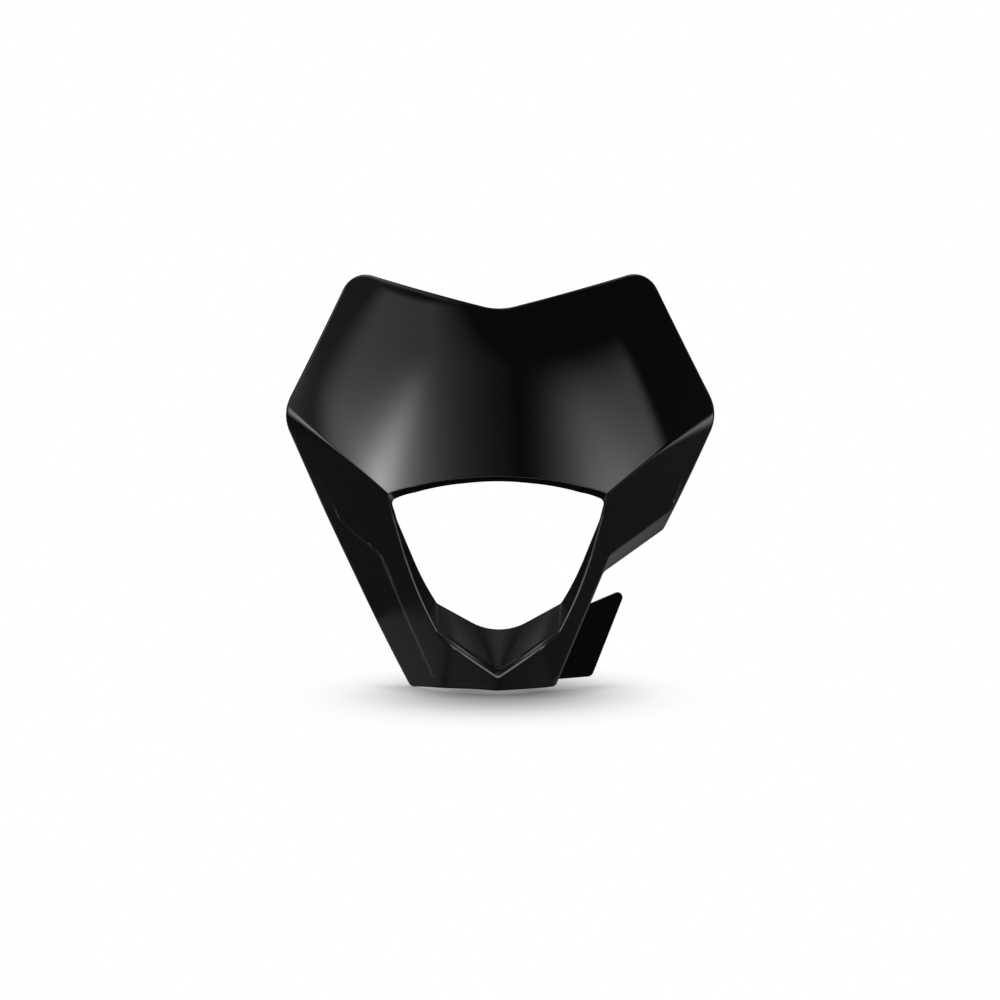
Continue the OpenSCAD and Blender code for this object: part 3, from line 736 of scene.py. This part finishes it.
# %% [markdown]
# Around the boxes stand dim walls, a dim sky and a dark ground. A few round lobes stand for reflectors and
# lamps that the edges, the flange and the groove mirror: each is exp((cos of the angle - 1) / width
# squared) times its strength, towards its azimuth and elevation in degrees. Azimuth 0 is towards the
# viewer, and 90 to the right.

# %% Walls and lobes
LOBES = (  # azimuth, elevation, strength, width
    (-107, 14, 2.4, 0.10), (121, -4, 2.0, 0.09), (158, -17, 0.3, 0.12), (-152, -9, 0.3, 0.07),
    (180, 72, 0.5, 0.12), (-35, -22, 6, 0.15), (35, -22, 6, 0.15), (0, -36, 6, 0.23),
    (-80, -29, 6, 0.13), (80, -29, 6, 0.13), (-130, -50, 0.12, 0.2), (130, -50, 0.08, 0.2),
    (162, 21, 0.6, 0.08), (-162, 21, 0.7, 0.08))
GROUND, SKY, LEFT_WALL, REAR_WALL = 0.006, 0.04, 0.15, 0.12
SKY_ENDS, LEFT_WALL_AT, REAR_WALL_AT, REAR_WALL_FOOT = (0.7, 0.1), (-0.45, -0.85), (0.2, 0.6), (0.15, 0.45)
walls = chain("ADD", chain("MULTIPLY", ramp(ray_x, *LEFT_WALL_AT), above, LEFT_WALL),
              chain("MULTIPLY", ramp(ray_y, *REAR_WALL_AT), ramp(ray_z, *REAR_WALL_FOOT), REAR_WALL))
level = chain("ADD", GROUND, chain("MULTIPLY", above, ramp(ray_y, *SKY_ENDS), SKY), walls,
              math_node("MULTIPLY", left_box, left_glow), math_node("MULTIPLY", right_box, right_glow))
for azimuth, elevation, strength, width in LOBES:
    a, e = np.radians(azimuth), np.radians(elevation)
    toward = add("ShaderNodeVectorMath", Vector=ray)
    toward.operation = "DOT_PRODUCT"
    toward.inputs[1].default_value = (np.sin(a) * np.cos(e), -np.cos(a) * np.cos(e), np.sin(e))
    near = math_node("DIVIDE", math_node("SUBTRACT", toward.outputs["Value"], 1.0), width ** 2)
    level = math_node("ADD", level, math_node("MULTIPLY", math_node("EXPONENT", near), strength))
sees = nodes.new("ShaderNodeLightPath").outputs["Is Camera Ray"]
shown = math_node("ADD", math_node("MULTIPLY", level, math_node("SUBTRACT", 1.0, sees)), sees)
background = add("ShaderNodeBackground", Strength=shown)
background.inputs["Color"].default_value = (1, 1, 1, 1)
out = nodes.new("ShaderNodeOutputWorld")
links.new(background.outputs[0], out.inputs["Surface"])
print("lobes:", len(LOBES), "world nodes:", len(nodes))

# %% [markdown]
# The lower end of the left side panel mirrors a spot on the table close behind it. The world is too far
# away to light that end alone, so a small round card lies there as an area lamp.

# %% Card
CARD_AT, CARD_AIM = Vector((-0.091, 0.125, -0.088)), Vector((-0.07, 0.095, -0.07))
CARD_SIZE, CARD_POWER = 0.07, 0.001
card = bpy.data.objects.new("card", bpy.data.lights.new("card", "AREA"))
bpy.context.scene.collection.objects.link(card)
card.data.shape = "DISK"
card.data.size = CARD_SIZE
card.data.energy = CARD_POWER
card.location = CARD_AT
card.rotation_euler = (CARD_AIM - CARD_AT).to_track_quat("-Z", "Y").to_euler()
card.visible_camera = False
print("card at", tuple(round(w, 3) for w in card.location))

# %% [markdown]
# ## Floor
# The floor is a plain white sheet just below the lowest point. A white surface under the studio's lamps
# would turn grey, so the sheet shines by itself and its shade is a formula: exp(-(r r) to a power) in an
# oval's own measure for the large lamps, and close to the foot how much of the space above is blocked.

# %% Floor
FLOOR_Z, FLOOR_HALF = float(cad_low[2]), 6
SHADE_X, SHADE_Y, SHADE_MIDDLE, SHADE, SHADE_POWER = 0.078, 0.155, 0.06, 0.72, 1.3
FOOT_REACH, FOOT_POWER = 0.03, 0.4
corners = [(x * FLOOR_HALF, y * FLOOR_HALF, FLOOR_Z) for x, y in ((-1, -1), (1, -1), (1, 1), (-1, 1))]
floor_mesh = bpy.data.meshes.new("floor")
floor_mesh.from_pydata(corners, [], [(0, 1, 2, 3)])
floor = bpy.data.objects.new("floor", floor_mesh)
bpy.context.scene.collection.objects.link(floor)
floor.visible_glossy = False
floor.visible_diffuse = False
floor.visible_shadow = False
paper = bpy.data.materials.new("paper")
paper.use_nodes = True
nodes, links = paper.node_tree.nodes, paper.node_tree.links
nodes.clear()
place = nodes.new("ShaderNodeTexCoord").outputs["Object"]
floor_x, floor_y = add("ShaderNodeSeparateXYZ", Vector=place).outputs[:2]
# Painted shadow: the oval darkens the glowing sheet under the cowl, and the occlusion term paints darker
# contact shade close to the foot.
across = math_node("DIVIDE", floor_x, SHADE_X)
along = math_node("DIVIDE", math_node("SUBTRACT", floor_y, SHADE_MIDDLE), SHADE_Y)
far = math_node("ADD", math_node("MULTIPLY", across, across), math_node("MULTIPLY", along, along))
soft = math_node("EXPONENT", math_node("MULTIPLY", math_node("POWER", far, SHADE_POWER), -1.0))
blocked = add("ShaderNodeAmbientOcclusion", Distance=FOOT_REACH).outputs["AO"]
near_foot = math_node("POWER", blocked, FOOT_POWER)
open_part = math_node("SUBTRACT", 1.0, math_node("MULTIPLY", soft, SHADE))
glow = add("ShaderNodeEmission", Strength=math_node("MULTIPLY", open_part, near_foot))
glow.inputs["Color"].default_value = (1, 1, 1, 1)
links.new(glow.outputs[0], nodes.new("ShaderNodeOutputMaterial").inputs["Surface"])
floor_mesh.materials.append(paper)
print("floor at", round(FLOOR_Z, 4))

# %% [markdown]
# ## Camera
# The picture could be matched by eye, but its outline gives the camera: level, 1.5 m away with a lens of
# about 84 mm, slightly to the right of the middle, so that the cowl seems turned by just under one degree.

# %% Camera
EYE, EYE_TURN, LENS = (0.0266, -1.4998, 0.036), 0.951, 84.06
scene = bpy.context.scene
camera = bpy.data.objects.new("camera", bpy.data.cameras.new("camera"))
scene.collection.objects.link(camera)
camera.location = EYE
camera.rotation_euler = (np.pi / 2, 0, np.radians(EYE_TURN))
camera.data.sensor_width = 36
camera.data.lens = LENS
camera.data.clip_start, camera.data.clip_end = 0.05, 30
scene.camera = camera
scene.view_settings.view_transform = "Standard"
print("camera at", tuple(round(w, 4) for w in camera.location))
